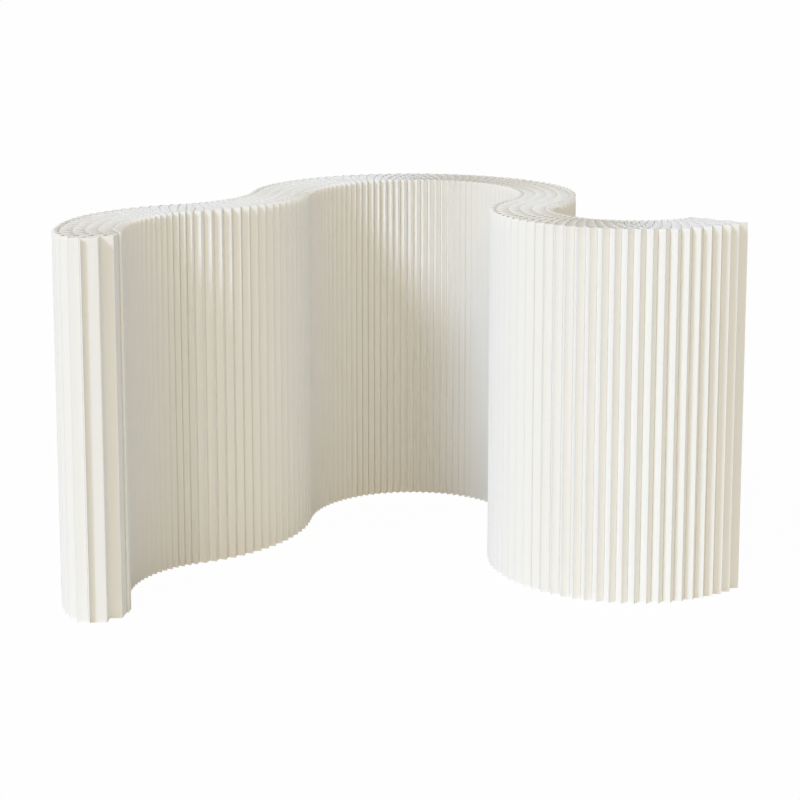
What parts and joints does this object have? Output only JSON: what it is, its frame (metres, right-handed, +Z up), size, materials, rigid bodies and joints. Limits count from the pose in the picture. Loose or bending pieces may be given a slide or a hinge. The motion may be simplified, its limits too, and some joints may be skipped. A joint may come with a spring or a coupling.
{
  "type": "pleated paper room divider",
  "caption": "Free-standing honeycomb paper partition: upright folded sheets glued side by side into a thick pleated wall that stands in a serpentine and turns on its fold lines.",
  "frame": {"origin": "centre of the footprint's bounding box, on the floor", "axes": "+Z up, +X along the length of the footprint towards the front bow's free end, +Y towards the wide bow at the back"},
  "size_m": [3.257, 2.455, 1.8],
  "materials": {
    "paper": "matt uncoated white paper"
  },
  "bodies": {
    "section_01": {"left_flanks_01": "paper", "right_flanks_01": "paper"},
    "section_02": {"left_flanks_02": "paper", "right_flanks_02": "paper"},
    "section_03": {"left_flanks_03": "paper", "right_flanks_03": "paper"},
    "section_04": {"left_flanks_04": "paper", "right_flanks_04": "paper"},
    "section_05": {"left_flanks_05": "paper", "right_flanks_05": "paper"},
    "section_06": {"left_flanks_06": "paper", "right_flanks_06": "paper"},
    "section_07": {"left_flanks_07": "paper", "right_flanks_07": "paper"},
    "section_08": {"left_flanks_08": "paper", "right_flanks_08": "paper"},
    "section_09": {"left_flanks_09": "paper", "right_flanks_09": "paper"},
    "section_10": {"left_flanks_10": "paper", "right_flanks_10": "paper"},
    "section_11": {"left_flanks_11": "paper", "right_flanks_11": "paper"},
    "section_12": {"left_flanks_12": "paper", "right_flanks_12": "paper"},
    "section_13": {"left_flanks_13": "paper", "right_flanks_13": "paper"},
    "section_14": {"left_flanks_14": "paper", "right_flanks_14": "paper"},
    "section_15": {"left_flanks_15": "paper", "right_flanks_15": "paper"},
    "section_16": {"left_flanks_16": "paper", "right_flanks_16": "paper"},
    "section_17": {"left_flanks_17": "paper", "right_flanks_17": "paper"},
    "section_18": {"left_flanks_18": "paper", "right_flanks_18": "paper"},
    "section_19": {"left_flanks_19": "paper", "right_flanks_19": "paper"},
    "section_20": {"left_flanks_20": "paper", "right_flanks_20": "paper"},
    "section_21": {"left_flanks_21": "paper", "right_flanks_21": "paper"},
    "section_22": {"left_flanks_22": "paper", "right_flanks_22": "paper"}
  },
  "joints": [
    {"name": "fold_01", "type": "hinge", "parent": "section_02", "child": "section_01", "pos_m": [-1.47404, -0.9233, 0.9], "axis": [0, 0, 1], "range_deg": [-6, 6]},
    {"name": "fold_02", "type": "hinge", "parent": "section_03", "child": "section_02", "pos_m": [-1.45627, -0.65027, 0.9], "axis": [0, 0, 1], "range_deg": [-6, 6]},
    {"name": "fold_03", "type": "hinge", "parent": "section_04", "child": "section_03", "pos_m": [-1.33776, -0.40506, 0.9], "axis": [0, 0, 1], "range_deg": [-6, 6]},
    {"name": "fold_04", "type": "hinge", "parent": "section_05", "child": "section_04", "pos_m": [-1.12755, -0.2319, 0.9], "axis": [0, 0, 1], "range_deg": [-6, 6]},
    {"name": "fold_05", "type": "hinge", "parent": "section_06", "child": "section_05", "pos_m": [-0.89492, -0.08871, 0.9], "axis": [0, 0, 1], "range_deg": [-6, 6]},
    {"name": "fold_06", "type": "hinge", "parent": "section_07", "child": "section_06", "pos_m": [-0.72943, 0.12824, 0.9], "axis": [0, 0, 1], "range_deg": [-6, 6]},
    {"name": "fold_07", "type": "hinge", "parent": "section_08", "child": "section_07", "pos_m": [-0.65516, 0.39079, 0.9], "axis": [0, 0, 1], "range_deg": [-6, 6]},
    {"name": "fold_08", "type": "hinge", "parent": "section_09", "child": "section_08", "pos_m": [-0.5938, 0.65664, 0.9], "axis": [0, 0, 1], "range_deg": [-6, 6]},
    {"name": "fold_09", "type": "hinge", "parent": "section_10", "child": "section_09", "pos_m": [-0.43667, 0.87957, 0.9], "axis": [0, 0, 1], "range_deg": [-6, 6]},
    {"name": "fold_10", "type": "hinge", "parent": "section_11", "child": "section_10", "pos_m": [-0.20668, 1.02617, 0.9], "axis": [0, 0, 1], "range_deg": [-6, 6]},
    {"name": "fold_11", "type": "hinge", "parent": "section_11", "child": "section_12", "pos_m": [0.06174, 1.07451, 0.9], "axis": [0, 0, 1], "range_deg": [-6, 6]},
    {"name": "fold_12", "type": "hinge", "parent": "section_12", "child": "section_13", "pos_m": [0.32842, 1.01735, 0.9], "axis": [0, 0, 1], "range_deg": [-6, 6]},
    {"name": "fold_13", "type": "hinge", "parent": "section_13", "child": "section_14", "pos_m": [0.55345, 0.86325, 0.9], "axis": [0, 0, 1], "range_deg": [-6, 6]},
    {"name": "fold_14", "type": "hinge", "parent": "section_14", "child": "section_15", "pos_m": [0.70315, 0.63526, 0.9], "axis": [0, 0, 1], "range_deg": [-6, 6]},
    {"name": "fold_15", "type": "hinge", "parent": "section_15", "child": "section_16", "pos_m": [0.75512, 0.36752, 0.9], "axis": [0, 0, 1], "range_deg": [-6, 6]},
    {"name": "fold_16", "type": "hinge", "parent": "section_16", "child": "section_17", "pos_m": [0.70157, 0.10009, 0.9], "axis": [0, 0, 1], "range_deg": [-6, 6]},
    {"name": "fold_17", "type": "hinge", "parent": "section_17", "child": "section_18", "pos_m": [0.59266, -0.15067, 0.9], "axis": [0, 0, 1], "range_deg": [-6, 6]},
    {"name": "fold_18", "type": "hinge", "parent": "section_18", "child": "section_19", "pos_m": [0.60366, -0.42192, 0.9], "axis": [0, 0, 1], "range_deg": [-6, 6]},
    {"name": "fold_19", "type": "hinge", "parent": "section_19", "child": "section_20", "pos_m": [0.74638, -0.65285, 0.9], "axis": [0, 0, 1], "range_deg": [-6, 6]},
    {"name": "fold_20", "type": "hinge", "parent": "section_20", "child": "section_21", "pos_m": [0.98407, -0.784, 0.9], "axis": [0, 0, 1], "range_deg": [-6, 6]},
    {"name": "fold_21", "type": "hinge", "parent": "section_21", "child": "section_22", "pos_m": [1.25553, -0.7816, 0.9], "axis": [0, 0, 1], "range_deg": [-6, 6]}
  ]
}
